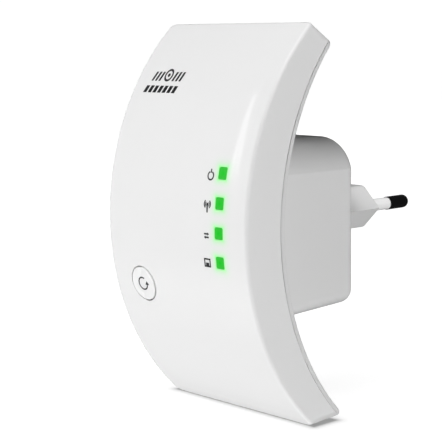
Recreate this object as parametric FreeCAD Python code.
"""Plug-in wifi range extender: a tall curved shell with a square plug block behind it.

Frame, in millimetres: the origin is the centre of the plug insert's end face, midway between the two
pins. +X points to the right for someone who faces the front, +Y points into the wall, along the pins,
and +Z points up. The front of the curved shell is its most forward point, at y = -reach.
"""
import FreeCAD, Part
import math
import os

V = FreeCAD.Vector
X_AXIS = V(1, 0, 0)
Y_AXIS = V(0, 1, 0)
Z_AXIS = V(0, 0, 1)
FAR = 200.0

# Curved shell: three arcs in the side view, all centred on the height shell_z.
reach = 68.0
shell_z = -0.2
shell_width = 56.7
shell_height = 110.0
front_radius = 72.8
seam_radius = 75.6
rear_radius = 74.6
seam_depth = 12.6
rear_depth = 14.45
top_cut_slope = 33.0
bottom_cut_slope = 3.5
plan_corner_radius = 2.2
inner_corner_radius = 1.2
front_edge_radius = 1.0
rear_edge_radius = 0.8
wall = 2.0
seam_groove = 0.3
seam_groove_depth = 0.2
rim_height = 3.0
rim_thickness = 1.2
rim_gap = 0.1

# Plug block, behind the shell. It narrows a little towards the wall.
block_back = -15.0
block_root = -51.0
block_half_width_back = 19.1
block_half_width_root = 19.6
block_top_back = 22.1
block_top_root = 22.4
block_bottom_back = -25.6
block_bottom_root = -26.9
block_top_radius = 11.2
block_crease = 12.0
block_bottom_radius = 4.0
block_back_edge_radius = 4.0

# Two-pin plug insert.
insert_half_width = 15.2
insert_half_height = 6.3
insert_flat_half_width = 8.9
insert_corner_radius = 2.0
insert_flange = 2.0
pin_spacing = 18.5
pin_radius = 2.0
pin_length = 18.6
pin_tip_round = 1.6
pin_neck_radius = 1.4
pin_inner_length = 22.0
sleeve_radius = 1.82
sleeve_length = 9.6
sleeve_root = 2.0

# Front controls.
button_x = -15.7
button_z = -17.8
button_radius = 4.85
button_gap = 0.3
button_flange_radius = 5.9
button_flange = 1.0
button_proud = 0.25
led_x = 18.0
led_top_z = 15.7
led_pitch = 7.87
window_width = 3.0
window_height = 3.2
LED_NAMES = ["power", "wifi", "data", "lan"]

# Main circuit board, upright behind the front wall.
main_front = -57.8
board_thickness = 1.6
main_half_width = 23.0
main_half_height = 31.0
main_screw_x = 20.2
main_screw_z = 24.0
main_screw_radius = 0.8
boss_radius = 2.4
wps_switch_height = 3.0
wps_plunger_height = 0.8
wps_plunger_radius = 1.75
led_height = 1.9

# Power board, upright inside the plug block.
power_front = -33.0
power_half_width = 16.0
power_bottom = -22.8
power_top = 15.0
power_screw_x = 12.5
power_screw_z = 11.6
power_screw_radius = 0.85

# Network jack, on the power board, with its mouth in the block's underside.
jack_half_width = 8.0
jack_depth = 11.5
jack_mouth_z = -25.9
jack_length = 15.8
jack_opening_half_width = 5.95
reset_x = -13.0
reset_half_depth = 1.75

main_back = main_front + board_thickness
power_back = power_front + board_thickness
reset_y = power_back + reset_half_depth
front_apex = -reach
seam_apex = front_apex + seam_depth
rear_apex = front_apex + rear_depth
half_width = shell_width / 2


# ---------------------------------------------------------------- helpers

def box(x0, x1, y0, y1, z0, z1):
    return Part.makeBox(x1 - x0, y1 - y0, z1 - z0, V(x0, y0, z0))


def block_at(x, z, width, height, y0, y1):
    """A box centred on x and z, from y0 to y1."""
    return box(x - width / 2, x + width / 2, y0, y1, z - height / 2, z + height / 2)


def rod_y(x, z, radius, y0, y1):
    return Part.makeCylinder(radius, y1 - y0, V(x, y0, z), Y_AXIS)


def rod_x(y, z, radius, x0, x1):
    return Part.makeCylinder(radius, x1 - x0, V(x0, y, z), X_AXIS)


def rod_z(x, y, radius, z0, z1):
    return Part.makeCylinder(radius, z1 - z0, V(x, y, z0), Z_AXIS)


def face_of(edges):
    return Part.Face(Part.Wire(edges))


def edges_where(shape, test):
    return [edge for edge in shape.Edges if test(edge.BoundBox)]


def polygon(points):
    return Part.makePolygon(points + [points[0]])


def fuse(first, others):
    return first.multiFuse(others).removeSplitter()


def save(name, shape):
    if shape.ShapeType == "Compound" and len(shape.Solids) == 1:
        shape = shape.Solids[0]
    shape.exportStep("parts/" + name + ".step")
    print(name, "solids", len(shape.Solids), "valid", shape.isValid(), "volume", round(shape.Volume, 1))


# ---------------------------------------------------------------- curved shell

def arc_y(apex, radius, z):
    """y of a shell arc at height z: the arc's nose is at y = apex, and it curves back towards +Y."""
    return apex + radius - math.sqrt(radius ** 2 - (z - shell_z) ** 2)


def arc_edge(apex, radius, z0, z1):
    middle = (z0 + z1) / 2
    points = [V(0, arc_y(apex, radius, z), z) for z in (z0, middle, z1)]
    return Part.Arc(*points).toShape()


def line_edge(a, b):
    return Part.LineSegment(a, b).toShape()


def end_cut_z(y, side, inset):
    """z of the straight end cut at depth y. side is +1 at the top end and -1 at the bottom end."""
    slope = math.radians(top_cut_slope if side > 0 else bottom_cut_slope)
    corner_z = shell_z + side * shell_height / 2
    corner_y = arc_y(front_apex, front_radius, corner_z)
    return corner_z - side * ((y - corner_y) * math.tan(slope) + inset / math.cos(slope))


def cut_meets_arc(apex, radius, side, inset):
    """The height where the end cut crosses a shell arc, found by halving the interval."""
    low = shell_z + side * shell_height * 0.35
    high = shell_z + side * shell_height * 0.54
    for _ in range(50):
        z = (low + high) / 2
        outside = side * (z - end_cut_z(arc_y(apex, radius, z), side, inset)) > 0
        if outside:
            high = z
        else:
            low = z
    return z


def shell_form(inset, rear_inset):
    """The crescent as a plain bar: front arc, two end cuts and rear arc, moved inwards by inset."""
    front = (front_apex + inset, front_radius - inset)
    rear = (rear_apex - rear_inset, rear_radius + rear_inset)
    z_front = [cut_meets_arc(*front, side, inset) for side in (-1, 1)]
    z_rear = [cut_meets_arc(*rear, side, inset) for side in (-1, 1)]
    corners = [V(0, arc_y(*front, z), z) for z in z_front] + [V(0, arc_y(*rear, z), z) for z in z_rear]
    outline = face_of([
        arc_edge(*front, *z_front),
        line_edge(corners[1], corners[3]),
        arc_edge(*rear, z_rear[1], z_rear[0]),
        line_edge(corners[2], corners[0]),
    ])
    reach_x = half_width - inset
    outline.translate(V(-reach_x, 0, 0))
    return outline.extrude(V(2 * reach_x, 0, 0))


def rounded_shell(inset, rear_inset, corner, front_edge, rear_edge):
    """The crescent bar with its four long corners, its front outline and its rear outline rounded."""
    bar = shell_form(inset, rear_inset)
    reach_x = half_width - inset
    tall = shell_height / 3

    def runs_back(b):
        short = b.ZLength < tall and b.YLength > 1
        return short and b.XLength < 0.01 and abs(abs(b.XMin) - reach_x) < 0.01

    bar = bar.makeFillet(corner, edges_where(bar, runs_back))
    if front_edge:
        bar = bar.makeFillet(front_edge, outline_edges(bar, front_apex + inset, front_radius - inset))
    if rear_edge:
        bar = bar.makeFillet(rear_edge, outline_edges(bar, rear_apex - rear_inset, rear_radius + rear_inset))
    return bar


def outline_edges(bar, apex, radius):
    """The edges round the bar's front face or its rear face: those that lie on the arc's cylinder."""
    centre_y = apex + radius

    def on_arc(edge):
        for point in edge.discretize(5):
            distance = math.hypot(point.y - centre_y, point.z - shell_z)
            if abs(distance - radius) > 0.01:
                return False
        return True

    return [edge for edge in bar.Edges if on_arc(edge)]


def space_before(apex, radius):
    """Everything in front of a shell arc."""
    low = shell_z - radius * 0.85
    high = shell_z + radius * 0.85
    outline = face_of([
        arc_edge(apex, radius, low, high),
        line_edge(V(0, arc_y(apex, radius, high), high), V(0, -FAR, high)),
        line_edge(V(0, -FAR, high), V(0, -FAR, low)),
        line_edge(V(0, -FAR, low), V(0, arc_y(apex, radius, low), low)),
    ])
    outline.translate(V(-FAR / 2, 0, 0))
    return outline.extrude(V(FAR, 0, 0))


def seam_cutter():
    """A thin slice on both sides of the joint line, used to leave a fine groove round the outside."""
    behind = space_before(seam_apex + seam_groove / 2, seam_radius)
    before = space_before(seam_apex - seam_groove / 2, seam_radius)
    return behind.cut(before).cut(shell_form(seam_groove_depth, seam_groove_depth))


def locating_rim():
    """A thin wall on the rear cover that stands just inside the front cover's side walls."""
    outer = rounded_shell(wall + rim_gap, -4, inner_corner_radius, 0, 0)
    inner = rounded_shell(wall + rim_gap + rim_thickness, -4, inner_corner_radius / 2, 0, 0)
    ring = outer.cut(inner)
    band = space_before(seam_apex + 0.5, seam_radius).cut(space_before(seam_apex - rim_height, seam_radius))
    return ring.common(band)


# Snap hooks on the rim, with matching pockets in the front cover's side walls.
SNAP_HEIGHTS = [-34.0, 0.0, 34.0]


def snap_blocks(grow):
    """Six small catches. grow makes the pockets a little larger than the hooks."""
    blocks = []
    for side in (-1, 1):
        for z in SNAP_HEIGHTS:
            y = arc_y(seam_apex - rim_height, seam_radius, shell_z + z)
            x0 = side * (half_width - wall - rim_gap - 0.4)
            x1 = side * (half_width - wall + 0.5 + grow)
            low_x, high_x = min(x0, x1), max(x0, x1)
            half = 3.0 + grow
            blocks.append(box(low_x, high_x, y + 0.3 - grow, y + 1.3 + grow,
                              shell_z + z - half, shell_z + z + half))
    return blocks


# ---------------------------------------------------------------- front cover and its controls

def led_z(index):
    return led_top_z - led_pitch * index


def window_prism(gap, y0, y1, index):
    prism = block_at(led_x, led_z(index), window_width + 2 * gap, window_height + 2 * gap, y0, y1)
    return prism.makeFillet(0.5, edges_where(prism, lambda b: b.YLength > 1))


def button_guide_face():
    """y of the flat ring inside the front cover that the button's flange rests against."""
    return main_front - wps_switch_height - wps_plunger_height - button_flange


def front_cover():
    outer = rounded_shell(0, 0, plan_corner_radius, front_edge_radius, rear_edge_radius)
    cavity = rounded_shell(wall, -6, inner_corner_radius, 0.6, 0)
    cover = outer.common(space_before(seam_apex, seam_radius)).cut(cavity)
    guide_end = button_guide_face() - 0.05
    guide = rod_y(button_x, button_z, button_radius + button_gap + 1.3, front_apex, guide_end)
    guide = guide.cut(space_before(front_apex + wall / 2, front_radius - wall / 2))
    cover = fuse(cover, [guide])
    hole = rod_y(button_x, button_z, button_radius + button_gap, front_apex - 1, guide_end + 5)
    recess = rod_y(button_x, button_z, button_flange_radius + 0.4, guide_end, guide_end + 5)
    cover = cover.cut(hole).cut(recess)
    for index in range(len(LED_NAMES)):
        cover = cover.cut(window_prism(0.06, front_apex - 1, main_front, index))
    cover = cover.cut(seam_cutter())
    for pocket in snap_blocks(0.1):
        cover = cover.cut(pocket)
    return cover


def light_pipe(index):
    """A clear post from the front face to just before its lamp, with a stop flange behind the wall."""
    post = window_prism(0, front_apex - 2, main_front - led_height - 0.3, index)
    post = post.cut(space_before(front_apex + 0.05, front_radius - 0.05))
    z = led_z(index)
    y_stop = arc_y(front_apex + wall, front_radius - wall, z)
    stop = block_at(led_x, z, window_width + 1.6, window_height + 1.6, y_stop - 2, y_stop + 1.0)
    stop = stop.cut(space_before(front_apex + wall + 0.05, front_radius - wall - 0.05))
    return fuse(post, [stop])


def light_baffle():
    """A white comb with one channel for each lamp, so that light doesn't leak to the next window."""
    low = led_z(len(LED_NAMES) - 1) - 3.4
    high = led_z(0) + 3.4
    comb = box(led_x - 3.2, led_x + 3.2, front_apex, main_front - 0.05, low, high)
    comb = comb.cut(space_before(front_apex + wall + 2.4, front_radius - wall - 2.4))
    for index in range(len(LED_NAMES)):
        comb = comb.cut(block_at(led_x, led_z(index), window_width + 0.5, window_height + 0.5,
                                 front_apex, main_front + 1))
    return comb


def wps_button():
    """A round cap whose face follows the shell's curve, with a flange that keeps it in."""
    seat = button_guide_face()
    cap = rod_y(button_x, button_z, button_radius, front_apex - 3, seat + button_flange)
    cap = cap.cut(space_before(front_apex - button_proud, front_radius + button_proud))
    face_edges = outline_edges(cap, front_apex - button_proud, front_radius + button_proud)
    cap = cap.makeFillet(0.4, face_edges)
    hollow = rod_y(button_x, button_z, button_radius - 1.1, front_apex, seat + button_flange + 1)
    hollow = hollow.cut(space_before(front_apex + 1.4, front_radius - 1.4))
    post = rod_y(button_x, button_z, wps_plunger_radius, front_apex, seat + button_flange)
    post = post.cut(space_before(front_apex + 0.7, front_radius - 0.7))
    flange = rod_y(button_x, button_z, button_flange_radius, seat, seat + button_flange)
    flange = flange.cut(rod_y(button_x, button_z, button_radius - 1.1, seat - 1, seat + button_flange + 1))
    return fuse(cap.cut(hollow), [post, flange])


# ---------------------------------------------------------------- rear cover

def block_outline(y, inset):
    """The plug block's outline at depth y: slack arcs at the top that meet the sides in a slight crease."""
    share = (y - block_root) / (block_back - block_root)
    half = block_half_width_root + share * (block_half_width_back - block_half_width_root) - inset
    top = block_top_root + share * (block_top_back - block_top_root) - inset
    bottom = block_bottom_root + share * (block_bottom_back - block_bottom_root) + inset
    radius = block_top_radius - inset
    low_radius = block_bottom_radius - inset
    crease = math.radians(block_crease)
    centre_x = half - radius * math.cos(crease)
    centre_z = top - radius

    def on_top_arc(side, angle):
        return V(side * (centre_x + radius * math.cos(angle)), y, centre_z + radius * math.sin(angle))

    def on_low_arc(side, angle):
        x = half - low_radius + low_radius * math.cos(angle)
        return V(side * x, y, bottom + low_radius - low_radius * math.sin(angle))

    middle = (crease + math.pi / 2) / 2
    quarter = math.pi / 2
    right = [on_top_arc(1, a) for a in (quarter, middle, crease)]
    right += [on_low_arc(1, a) for a in (0, quarter / 2, quarter)]
    left = [on_top_arc(-1, a) for a in (quarter, middle, crease)]
    left += [on_low_arc(-1, a) for a in (0, quarter / 2, quarter)]
    return Part.Wire([
        Part.Arc(right[0], right[1], right[2]).toShape(),
        line_edge(right[2], right[3]),
        Part.Arc(right[3], right[4], right[5]).toShape(),
        line_edge(right[5], left[5]),
        Part.Arc(left[5], left[4], left[3]).toShape(),
        line_edge(left[3], left[2]),
        Part.Arc(left[2], left[1], left[0]).toShape(),
        line_edge(left[0], right[0]),
    ])


def block_solid(y0, y1, inset):
    return Part.makeLoft([block_outline(y0, inset), block_outline(y1, inset)], True, True)


def insert_outline(y, grow):
    """The long six-sided outline of the plug insert, with its four upper and lower corners rounded."""
    half = insert_half_width + grow
    height = insert_half_height + grow
    flat = insert_flat_half_width + grow
    points = [V(half, y, 0), V(flat, y, height), V(-flat, y, height),
              V(-half, y, 0), V(-flat, y, -height), V(flat, y, -height)]
    return polygon(points)


def insert_prism(y0, y1, grow):
    prism = Part.Face(insert_outline(y0, grow)).extrude(V(0, y1 - y0, 0))

    def is_flat_corner(b):
        return b.YLength > 1 and abs(b.ZMin) > 1

    return prism.makeFillet(insert_corner_radius + grow, edges_where(prism, is_flat_corner))


def vent_slots(low, high):
    """Upright slots through the rear plate, clear of the plug block."""
    slots = []
    for x in (-12.0, -6.0, 0.0, 6.0, 12.0):
        slot = box(x - 0.8, x + 0.8, -60, -20, low, high)
        slots.append(slot.makeFillet(0.79, edges_where(slot, lambda b: b.YLength > 10)))
    return slots


def rear_cover():
    plate = rounded_shell(0, 0, plan_corner_radius, front_edge_radius, rear_edge_radius)
    plug_block = block_solid(-56, block_back, 0)
    back_edges = edges_where(plug_block, lambda b: b.YMin > block_back - 0.01)
    plug_block = plug_block.makeFillet(block_back_edge_radius, back_edges)
    cover = fuse(plate, [plug_block])
    cover = cover.cut(space_before(seam_apex, seam_radius)).cut(seam_cutter())
    cavity = block_solid(-60, block_back - wall, wall)
    cover = cover.cut(cavity)
    bosses = [main_boss(x, z) for x in (-1, 1) for z in (-1, 1)]
    bosses += [power_boss(x) for x in (-1, 1)]
    bosses += [lower_rest(x) for x in (-1, 1)]
    cover = fuse(cover, [locating_rim()] + snap_blocks(0) + bosses)
    jack_gap = 0.12
    cutters = [box(-jack_half_width - jack_gap, jack_half_width + jack_gap,
                   power_back - jack_gap, power_back + jack_depth + jack_gap, -30, -20)]
    cutters.append(rod_z(reset_x, reset_y, 1.0, -30, -20))
    cutters.append(insert_prism(block_back - wall - 1, block_back + 1, 0.1))
    cutters += vent_slots(29.0, 43.0) + vent_slots(-45.0, -32.0)
    for x in (-1, 1):
        pilot_x = x * power_screw_x
        cutters.append(rod_y(pilot_x, power_screw_z, power_screw_radius, power_back - 1, power_back + 8))
        for z in (-1, 1):
            pilot_z = shell_z + z * main_screw_z
            pilot_end = main_back + 4.8
            cutters.append(rod_y(x * main_screw_x, pilot_z, main_screw_radius, main_back - 1, pilot_end))
    for cutter in cutters:
        cover = cover.cut(cutter)
    return cover


def main_boss(side_x, side_z):
    z = shell_z + side_z * main_screw_z
    boss = rod_y(side_x * main_screw_x, z, boss_radius, main_back, main_back + 8)
    return boss.common(space_before(seam_apex + 0.3, seam_radius))


def power_boss(side):
    return rod_y(side * power_screw_x, power_screw_z, boss_radius, power_back, block_back - wall + 0.5)


def lower_rest(side):
    """A plain post that the power board's lower corner leans on."""
    return rod_y(side * 14.3, -9.5, 1.2, power_back, block_back - wall + 0.5)


# ---------------------------------------------------------------- plug insert and pins

def plug_insert():
    prism = insert_prism(block_back - wall - 0.5, 0, 0)
    prism = prism.makeFillet(0.6, edges_where(prism, lambda b: b.YMin > -0.01))
    flange_face = block_back - wall
    flange = box(-16.4, 16.4, flange_face - insert_flange, flange_face, -8.2, 8.2)
    insert = fuse(prism, [flange])
    for side in (-1, 1):
        x = side * pin_spacing / 2
        insert = insert.cut(rod_y(x, 0, pin_neck_radius, -30, 5))
        insert = insert.cut(rod_y(x, 0, sleeve_radius, -sleeve_root, 5))
    return insert


def plug_pin(side):
    """A round pin: full-size metal at the tip, a thinner neck under the sleeve and in the insert."""
    x = side * pin_spacing / 2
    tip = rod_y(x, 0, pin_radius, sleeve_length, pin_length)
    tip = tip.makeFillet(pin_tip_round, edges_where(tip, lambda b: b.YMin > pin_length - 0.01))
    neck = rod_y(x, 0, pin_neck_radius, -pin_inner_length, sleeve_length + 0.5)
    return fuse(tip, [neck])


def pin_sleeve(side):
    x = side * pin_spacing / 2
    sleeve = rod_y(x, 0, sleeve_radius, -sleeve_root, sleeve_length)
    return sleeve.cut(rod_y(x, 0, pin_neck_radius, -sleeve_root - 1, sleeve_length + 1))


# ---------------------------------------------------------------- main board

def main_board():
    board = box(-main_half_width, main_half_width, main_front, main_back,
                shell_z - main_half_height, shell_z + main_half_height)
    board = board.makeFillet(2.5, edges_where(board, lambda b: b.YLength > 1))
    for x in (-1, 1):
        for z in (-1, 1):
            board = board.cut(rod_y(x * main_screw_x, shell_z + z * main_screw_z, 1.15, -60, -50))
    return board


def chip(x, z, width, height, thick, face, legs_per_side):
    """A moulded chip on a board's front face, with gull-wing legs on its two upright sides."""
    body = block_at(x, z, width, height, face - thick, face - 0.12)
    body = body.makeChamfer(0.2, edges_where(body, lambda b: b.YMax < face - thick + 0.01))
    legs = []
    pitch = (height - 0.8) / max(legs_per_side - 1, 1)
    for side in (-1, 1):
        for index in range(legs_per_side):
            leg_z = z - (height - 0.8) / 2 + index * pitch
            inner = x + side * (width / 2 - 0.2)
            outer = x + side * (width / 2 + 0.9)
            legs.append(block_at((inner + outer) / 2, leg_z, abs(outer - inner), 0.35, face - 0.25, face))
            legs.append(block_at(x + side * (width / 2 + 0.12), leg_z, 0.3, 0.35, face - thick / 2, face))
    return fuse(body, legs)


def wifi_processor():
    body = block_at(-3, 8, 12, 12, main_front - 1.0, main_front)
    return body.cut(rod_y(-7.9, 12.9, 0.4, main_front - 1.1, main_front - 0.9))


def rf_shield():
    """A tin can over the radio and its processor, with two rows of small holes in its lid."""
    can = block_at(-3, 8, 20, 20, main_front - 2.6, main_front)
    can = can.makeFillet(0.5, edges_where(can, lambda b: b.YLength > 1 or b.YMax < main_front - 2.5))
    can = can.cut(block_at(-3, 8, 19.5, 19.5, main_front - 2.35, main_front + 1))
    for column in range(5):
        for row in (-1, 1):
            can = can.cut(rod_y(-3 + (column - 2) * 3.4, 8 + row * 7.4, 0.5, main_front - 3, main_front - 2))
    return can


def crystal():
    can = block_at(-12.5, -8.0, 5.0, 3.2, main_front - 1.1, main_front)
    return can.makeFillet(0.5, edges_where(can, lambda b: b.YLength > 1))


def status_leds():
    lamps = []
    for index in range(len(LED_NAMES)):
        lamp = block_at(led_x, led_z(index), 3.2, 2.8, main_front - led_height, main_front)
        lens = rod_y(led_x, led_z(index), 1.1, main_front - led_height - 1, main_front - led_height + 0.3)
        lamps.append(lamp.cut(lens))
    return Part.makeCompound(lamps)


def wps_switch_body():
    top = main_front - wps_switch_height
    body = block_at(button_x, button_z, 6.0, 6.0, top, main_front)
    body = body.makeFillet(0.4, edges_where(body, lambda b: b.YLength > 1))
    well = rod_y(button_x, button_z, wps_plunger_radius + 0.1, top - 1, top + 1.2)
    legs = [block_at(button_x + sx * 3.5, button_z + sz * 2.25, 1.4, 0.7, main_front - 0.9, main_front)
            for sx in (-1, 1) for sz in (-1, 1)]
    return fuse(body, legs).cut(well)


def wps_switch_plunger():
    top = main_front - wps_switch_height
    plunger = rod_y(button_x, button_z, wps_plunger_radius, top - wps_plunger_height, top + 0.75)
    return plunger


def antenna_connectors():
    """A tiny round coaxial socket for each antenna lead, on the main board's back face."""
    sockets = []
    for side in (-1, 1):
        z = shell_z + side * 28.0
        base = block_at(-10, z, 3.0, 3.0, main_back, main_back + 0.6)
        sockets.append(fuse(base, [rod_y(-10, z, 1.0, main_back, main_back + 1.4)]))
    return Part.makeCompound(sockets)


def antenna(side):
    """A small printed antenna, fixed flat to the inside of the front cover near one end."""
    board = box(-18, 18, -0.8, 0, -4, 4)
    trace = box(-16.5, 16.5, 0, 0.07, -3, -2)
    for index in range(5):
        x = -16.5 + index * 7.9
        trace = trace.fuse(box(x, x + 1.4, 0, 0.07, -3, 3))
    plate = fuse(board, [trace])
    angle = 36.0
    plate.rotate(V(0, 0, 0), X_AXIS, -side * angle)
    radius = front_radius - wall - 1.1
    turn = math.radians(angle)
    centre_y = front_apex + front_radius
    plate.translate(V(0, centre_y - radius * math.cos(turn), shell_z + side * radius * math.sin(turn)))
    return plate


def tube_along(points, radius):
    """A round tube along straight runs that are joined by tangent arcs, with the runs' 0.45 rule."""
    edges = []
    start = points[0]
    radii = []
    for index in range(1, len(points) - 1):
        before = points[index] - points[index - 1]
        after = points[index + 1] - points[index]
        turn = before.getAngle(after)
        reach_along = 0.45 * min(before.Length, after.Length)
        radii.append(round(reach_along / math.tan(turn / 2), 2))
        into = V(before).normalize()
        out = V(after).normalize()
        arc_start = points[index] - into * reach_along
        arc_end = points[index] + out * reach_along
        bisector = (out - into).normalize()
        bend = radii[-1]
        sagitta = bend * (1 / math.cos(turn / 2) - 1)
        arc_middle = points[index] + bisector * sagitta
        edges.append(line_edge(start, arc_start))
        edges.append(Part.Arc(arc_start, arc_middle, arc_end).toShape())
        start = arc_end
    edges.append(line_edge(start, points[-1]))
    path = Part.Wire(edges)
    profile = Part.Wire(Part.makeCircle(radius, points[0], points[1] - points[0]))
    tube = path.makePipeShell([profile], True, False)
    drift = tube.Volume / (math.pi * radius ** 2 * path.Length)
    print("   lead: bend radii", radii, "length", round(path.Length, 1), "volume ratio", round(drift, 3))
    return tube


def antenna_cable(side):
    """A thin coaxial lead from its socket on the main board up or down to the antenna's foot."""
    def at(x, y, z):
        return V(x, y, shell_z + side * z)

    return tube_along([at(-10, main_back + 1.4, 28.0), at(-10, main_back + 3.2, 28.0), at(-7, -52.6, 31.2),
                       at(-2, -51.6, 33.6), at(2.5, -51.6, 36.4), at(4.8, -52.7, 38.7)], 0.55)


def pan_screw(x, z, head_y, thread_radius, head_radius, length):
    """A self-tapping pan-head screw that points along +Y, with its head in front of head_y."""
    head = rod_y(x, z, head_radius, head_y - 1.3, head_y)
    head = head.makeFillet(0.5, edges_where(head, lambda b: b.YMax < head_y - 1.2))
    shank = rod_y(x, z, thread_radius, head_y - 0.3, head_y + length)
    shank = shank.makeChamfer(0.4, edges_where(shank, lambda b: b.YMin > head_y + length - 0.01))
    screw = fuse(head, [shank])
    for angle in (0, 90):
        slot = block_at(x, z, head_radius * 1.2, 0.35, head_y - 2, head_y - 0.7)
        slot.rotate(V(x, 0, z), Y_AXIS, angle)
        screw = screw.cut(slot)
    return screw


def main_board_screws():
    screws = []
    for x in (-1, 1):
        for z in (-1, 1):
            screw_z = shell_z + z * main_screw_z
            screws.append(pan_screw(x * main_screw_x, screw_z, main_front, main_screw_radius, 1.9, 5.6))
    return Part.makeCompound(screws)


def chip_row(x, z, step_x, step_z, count, face, direction):
    """A row of small two-ended chip parts on a board's face."""
    chips = []
    for index in range(count):
        px = x + index * step_x
        pz = z + index * step_z
        y0, y1 = sorted((face, face + direction * 0.6))
        chips.append(block_at(px, pz, 1.6, 0.8, y0, y1))
    return chips


def main_board_passives():
    chips = chip_row(-11.5, -4.0, 2.4, 0, 8, main_front, -1)
    chips += chip_row(-8.0, 20.6, 2.4, 0, 7, main_front, -1)
    chips += chip_row(-16.0, -2.0, 0, 2.0, 8, main_front, -1)
    chips += chip_row(10.3, -2.0, 0, 2.0, 8, main_front, -1)
    return Part.makeCompound(chips)


# ---------------------------------------------------------------- link between the boards

LINK_Z = 5.0
LINK_WIDTH = 9.0


def link_connectors():
    """One flat-cable socket on each board, facing each other."""
    first = block_at(0, LINK_Z, LINK_WIDTH + 3.5, 4.0, main_back, main_back + 2.4)
    second = block_at(0, LINK_Z, LINK_WIDTH + 3.5, 4.0, power_front - 2.4, power_front)
    slot = block_at(0, LINK_Z, LINK_WIDTH + 0.2, 0.5, main_back + 1.0, power_front - 1.0)
    return Part.makeCompound([first.cut(slot), second.cut(slot)])


def link_cable():
    """A flat ribbon with one gentle wave, which gives the slack to open the case."""
    y0 = main_back + 1.1
    y1 = power_front - 1.1
    span = y1 - y0
    points = [V(0, y0, LINK_Z), V(0, y0 + 0.2 * span, LINK_Z), V(0, y0 + 0.4 * span, LINK_Z + 2.2),
              V(0, y0 + 0.6 * span, LINK_Z + 2.2), V(0, y0 + 0.8 * span, LINK_Z), V(0, y1, LINK_Z)]
    thick = 0.3
    upper = ribbon_line(points, thick / 2)
    lower = ribbon_line(points, -thick / 2)
    ends = [line_edge(lower[0].Vertexes[0].Point, upper[0].Vertexes[0].Point),
            line_edge(lower[-1].Vertexes[-1].Point, upper[-1].Vertexes[-1].Point)]
    outline = Part.Face(Part.Wire(Part.__sortEdges__(upper + lower + ends)))
    outline.translate(V(-LINK_WIDTH / 2, 0, 0))
    return outline.extrude(V(LINK_WIDTH, 0, 0))


def ribbon_line(points, offset):
    """One side of the ribbon: the path's runs moved by offset, with arcs of the matching radii."""
    edges = []
    start = points[0] + V(0, 0, offset)
    for index in range(1, len(points) - 1):
        into = (points[index] - points[index - 1]).normalize()
        out = (points[index + 1] - points[index]).normalize()
        reach_along = 0.45 * min((points[index] - points[index - 1]).Length,
                                 (points[index + 1] - points[index]).Length)
        normal_in = V(0, -into.z, into.y)
        normal_out = V(0, -out.z, out.y)
        arc_start = points[index] - into * reach_along + normal_in * offset
        arc_end = points[index] + out * reach_along + normal_out * offset
        turn = into.getAngle(out)
        bend = reach_along / math.tan(turn / 2)
        bisector = (out - into).normalize()
        centre = points[index] + bisector * (bend / math.cos(turn / 2))
        inside = normal_in.dot(bisector) > 0
        arc_middle = centre - bisector * (bend - offset if inside else bend + offset)
        edges.append(line_edge(start, arc_start))
        edges.append(Part.Arc(arc_start, arc_middle, arc_end).toShape())
        start = arc_end
    edges.append(line_edge(start, points[-1] + V(0, 0, offset)))
    return edges


# ---------------------------------------------------------------- power board, jack and small parts

def power_board():
    board = box(-power_half_width, power_half_width, power_front, power_back, power_bottom, power_top)
    board = board.makeFillet(2.0, edges_where(board, lambda b: b.YLength > 1 and b.ZMin > 0))
    for side in (-1, 1):
        board = board.cut(rod_y(side * power_screw_x, power_screw_z, 1.25, power_front - 1, power_back + 1))
    slot = box(-14.5, -1.5, power_front - 1, power_back + 1, -8.2, -7.4)
    return board.cut(slot)


def power_board_screws():
    screws = []
    for side in (-1, 1):
        x = side * power_screw_x
        screws.append(pan_screw(x, power_screw_z, power_front, power_screw_radius, 1.9, 7.5))
    return Part.makeCompound(screws)


def rj45_housing():
    """The network jack: a plastic body on the board's wall side, with its mouth facing down."""
    y_top = power_back + jack_depth
    z_top = jack_mouth_z + jack_length
    body = box(-jack_half_width, jack_half_width, power_back, y_top, jack_mouth_z, z_top)
    half = jack_opening_half_width
    mouth_low = jack_mouth_z - 1
    opening = box(-half, half, y_top - 8.7, y_top - 1.5, mouth_low, jack_mouth_z + 13.2)
    latch = box(-3.1, 3.1, y_top - 1.6, y_top - 0.6, mouth_low, jack_mouth_z + 9.0)
    body = body.cut(opening).cut(latch)
    for index in range(8):
        x = contact_x(index)
        comb_slot = box(x - 0.3, x + 0.3, y_top - 9.6, y_top - 8.6, jack_mouth_z + 1.0, jack_mouth_z + 13.2)
        body = body.cut(comb_slot)
    return body


def contact_x(index):
    return (index - 3.5) * 1.02


def rj45_contacts():
    """Eight sprung wires that slope up from the jack's floor towards its inner end."""
    y_floor = power_back + jack_depth - 9.2
    blades = []
    for index in range(8):
        x = contact_x(index)
        points = [
            V(x - 0.2, y_floor, jack_mouth_z + 2.0),
            V(x - 0.2, y_floor + 2.9, jack_mouth_z + 11.4),
            V(x - 0.2, y_floor + 2.5, jack_mouth_z + 11.5),
            V(x - 0.2, y_floor - 0.3, jack_mouth_z + 2.4),
        ]
        blades.append(Part.Face(polygon(points)).extrude(V(0.4, 0, 0)))
    return Part.makeCompound(blades)


def lan_transformer():
    part = chip(0, -3.6, 11.0, 9.0, 5.0, 0, 8)
    part.rotate(V(0, 0, 0), Z_AXIS, 180)
    part.translate(V(0, power_back, 0))
    return part


def reset_switch_body():
    body = box(reset_x - 3, reset_x + 3, power_back, power_back + 2 * reset_half_depth, -19.6, -16.0)
    well = block_at(reset_x, -19.1, 2.4, 1.8, reset_y - 0.85, reset_y + 0.85)
    return body.cut(well)


def reset_switch_plunger():
    plunger = box(reset_x - 1.1, reset_x + 1.1, reset_y - 0.75, reset_y + 0.75, -21.2, -18.7)
    return plunger.makeFillet(0.3, edges_where(plunger, lambda b: b.ZMax < -21.1))


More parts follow.
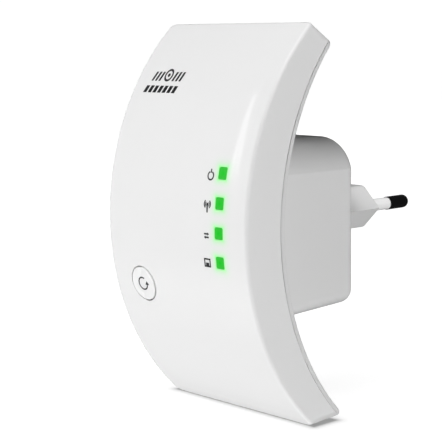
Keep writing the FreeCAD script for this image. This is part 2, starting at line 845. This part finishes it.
def can_capacitor(x, z, radius, y0, y1, top_side):
    """A round electrolytic capacitor: a can with a rolled groove near its base and a scored top."""
    can = rod_y(x, z, radius, y0, y1)
    rims = edges_where(can, lambda b: b.YLength < 0.01)
    can = can.makeFillet(0.5, rims)
    groove_y = y0 + 1.8 if top_side > 0 else y1 - 1.8
    ring = Part.makeTorus(radius + 0.25, 0.55, V(x, groove_y, z), Y_AXIS)
    top_y = y1 if top_side > 0 else y0
    can = can.cut(ring)
    for angle in (0, 90):
        score = block_at(x, z, radius * 1.3, 0.25, top_y - 0.12, top_y + 0.12)
        score.rotate(V(x, 0, z), Y_AXIS, angle)
        can = can.cut(score)
    return can


def output_capacitor():
    return can_capacitor(11.6, 5.0, 4.0, power_front - 11.3, power_front, -1)


def power_inductor():
    core = block_at(-11.6, 4.4, 6.0, 6.0, power_front - 3.4, power_front)
    core = core.makeFillet(1.2, edges_where(core, lambda b: b.YLength > 1))
    return core.cut(rod_y(-11.6, 4.4, 2.3, power_front - 4, power_front - 2.9))


def voltage_regulator():
    return chip(-3.0, 11.8, 2.4, 3.4, 1.3, power_front, 3)


def power_board_passives():
    chips = chip_row(-6.0, 0.9, 2.4, 0, 5, power_front, -1)
    chips += chip_row(2.0, 9.6, 0, 1.5, 4, power_front, -1)
    chips += chip_row(4.6, 9.6, 0, 1.5, 4, power_front, -1)
    chips += chip_row(-5.0, 4.0, 2.5, 0, 5, power_back, 1)
    return Part.makeCompound(chips)


# ---------------------------------------------------------------- power board, tall parts

CORE_X = -8.0
CORE_Z = -15.2
CORE_Y = power_front - 5.6


def transformer_core():
    core = box(CORE_X - 6.6, CORE_X + 6.6, CORE_Y - 2.4, CORE_Y + 2.4, CORE_Z - 6.2, CORE_Z + 6.2)
    for side in (-1, 1):
        x0, x1 = sorted((CORE_X + side * 1.7, CORE_X + side * 4.8))
        core = core.cut(box(x0, x1, CORE_Y - 3, CORE_Y + 3, CORE_Z - 4.3, CORE_Z + 4.3))
    return core


def transformer_bobbin():
    """A spool round the core's middle leg, standing on the board by its two flanges."""
    tube = box(CORE_X - 2.5, CORE_X + 2.5, CORE_Y - 3.2, CORE_Y + 3.2, CORE_Z - 4.2, CORE_Z + 4.2)
    flanges = [box(CORE_X - 4.6, CORE_X + 4.6, CORE_Y - 4.9, power_front, z - 0.35, z + 0.35)
               for z in (CORE_Z - 3.85, CORE_Z + 3.85)]
    spool = fuse(tube, flanges)
    return spool.cut(box(CORE_X - 1.8, CORE_X + 1.8, CORE_Y - 2.5, CORE_Y + 2.5, CORE_Z - 5, CORE_Z + 5))


def transformer_winding():
    outer = box(CORE_X - 4.2, CORE_X + 4.2, CORE_Y - 4.5, CORE_Y + 4.5, CORE_Z - 3.4, CORE_Z + 3.4)
    outer = outer.makeFillet(1.5, edges_where(outer, lambda b: b.ZLength > 1))
    return outer.cut(box(CORE_X - 2.6, CORE_X + 2.6, CORE_Y - 3.3, CORE_Y + 3.3, CORE_Z - 5, CORE_Z + 5))


def input_capacitors():
    first = can_capacitor(3.6, -16.4, 4.0, power_front - 11.0, power_front, -1)
    second = can_capacitor(11.4, -16.6, 3.15, power_front - 11.0, power_front, -1)
    return Part.makeCompound([first, second])


def filter_inductor():
    """A small drum core with a copper-filled waist."""
    x, z = 11.2, -8.5
    drum = rod_y(x, z, 2.6, power_front - 6.0, power_front)
    ring = rod_y(x, z, 3.5, power_front - 5.0, power_front - 1.0)
    return drum.cut(ring.cut(rod_y(x, z, 2.1, power_front - 6.0, power_front)))


def bridge_rectifier():
    body = block_at(3.2, -8.6, 6.0, 5.0, power_front - 2.6, power_front - 0.1)
    body = body.makeChamfer(0.4, edges_where(body, lambda b: b.YMax < power_front - 2.5))
    legs = [block_at(3.2 + sx * 3.3, -8.6 + sz * 1.6, 1.0, 0.8, power_front - 0.3, power_front)
            for sx in (-1, 1) for sz in (-1, 1)]
    return fuse(body, legs)


def fuse_resistor():
    y, z = power_front - 1.9, -3.2
    body = rod_x(y, z, 1.6, 2.8, 10.0)
    body = body.makeFillet(0.7, edges_where(body, lambda b: b.XLength < 0.01))
    legs = [rod_y(x, z, 0.3, y, power_front) for x in (2.0, 10.8)]
    return fuse(body, legs + [rod_x(y, z, 0.4, 1.4, 11.4)])


def y_capacitor():
    x, y, z = -2.6, power_front - 4.2, -3.6
    disc = rod_x(y, z, 3.6, x - 1.3, x + 1.3)
    disc = disc.makeFillet(0.9, edges_where(disc, lambda b: b.XLength < 0.01))
    legs = [rod_y(x, z + dz, 0.35, y + 1.2, power_front) for dz in (-2.0, 2.0)]
    return fuse(disc, legs)


def switching_controller():
    return chip(-9.0, -4.0, 4.0, 5.0, 1.5, power_front, 4)


def mains_lead(side):
    """An insulated lead from a pin's inner end to its pad on the power board."""
    x = side * pin_spacing / 2
    drop = -2.6
    return tube_along([V(x, -pin_inner_length, 0), V(x, -pin_inner_length - 3.0, 0),
                       V(x + side * 3.2, power_back + 3.2, drop), V(x + side * 3.2, power_back, drop)], 0.7)


# ---------------------------------------------------------------- write the parts

def main():
    os.makedirs("parts", exist_ok=True)
    save("front_cover", front_cover())
    save("rear_cover", rear_cover())
    save("plug_insert", plug_insert())
    for name, side in (("left", -1), ("right", 1)):
        save("pin_" + name, plug_pin(side))
        save("pin_sleeve_" + name, pin_sleeve(side))
    save("wps_button", wps_button())
    for index, name in enumerate(LED_NAMES):
        save("light_pipe_" + name, light_pipe(index))
    save("light_baffle", light_baffle())
    save("main_board", main_board())
    save("wifi_processor", wifi_processor())
    save("rf_shield", rf_shield())
    save("memory_chip", chip(-2.0, -14.0, 8.0, 10.0, 1.2, main_front, 14))
    save("flash_chip", chip(7.6, -14.0, 3.9, 5.0, 1.6, main_front, 4))
    save("crystal", crystal())
    save("status_leds", status_leds())
    save("wps_switch_body", wps_switch_body())
    save("wps_switch_plunger", wps_switch_plunger())
    save("antenna_connectors", antenna_connectors())
    for name, side in (("upper", 1), ("lower", -1)):
        save("antenna_" + name, antenna(side))
        save("antenna_cable_" + name, antenna_cable(side))
    save("main_board_screws", main_board_screws())
    save("main_board_passives", main_board_passives())
    save("link_connectors", link_connectors())
    save("link_cable", link_cable())
    save("power_board", power_board())
    save("power_board_screws", power_board_screws())
    save("rj45_housing", rj45_housing())
    save("rj45_contacts", rj45_contacts())
    save("lan_transformer", lan_transformer())
    save("reset_switch_body", reset_switch_body())
    save("reset_switch_plunger", reset_switch_plunger())
    save("output_capacitor", output_capacitor())
    save("power_inductor", power_inductor())
    save("voltage_regulator", voltage_regulator())
    save("power_board_passives", power_board_passives())
    save("transformer_core", transformer_core())
    save("transformer_bobbin", transformer_bobbin())
    save("transformer_winding", transformer_winding())
    save("input_capacitors", input_capacitors())
    save("filter_inductor", filter_inductor())
    save("bridge_rectifier", bridge_rectifier())
    save("fuse_resistor", fuse_resistor())
    save("y_capacitor", y_capacitor())
    save("switching_controller", switching_controller())
    for name, side in (("live", 1), ("neutral", -1)):
        save("mains_lead_" + name, mains_lead(side))


main()
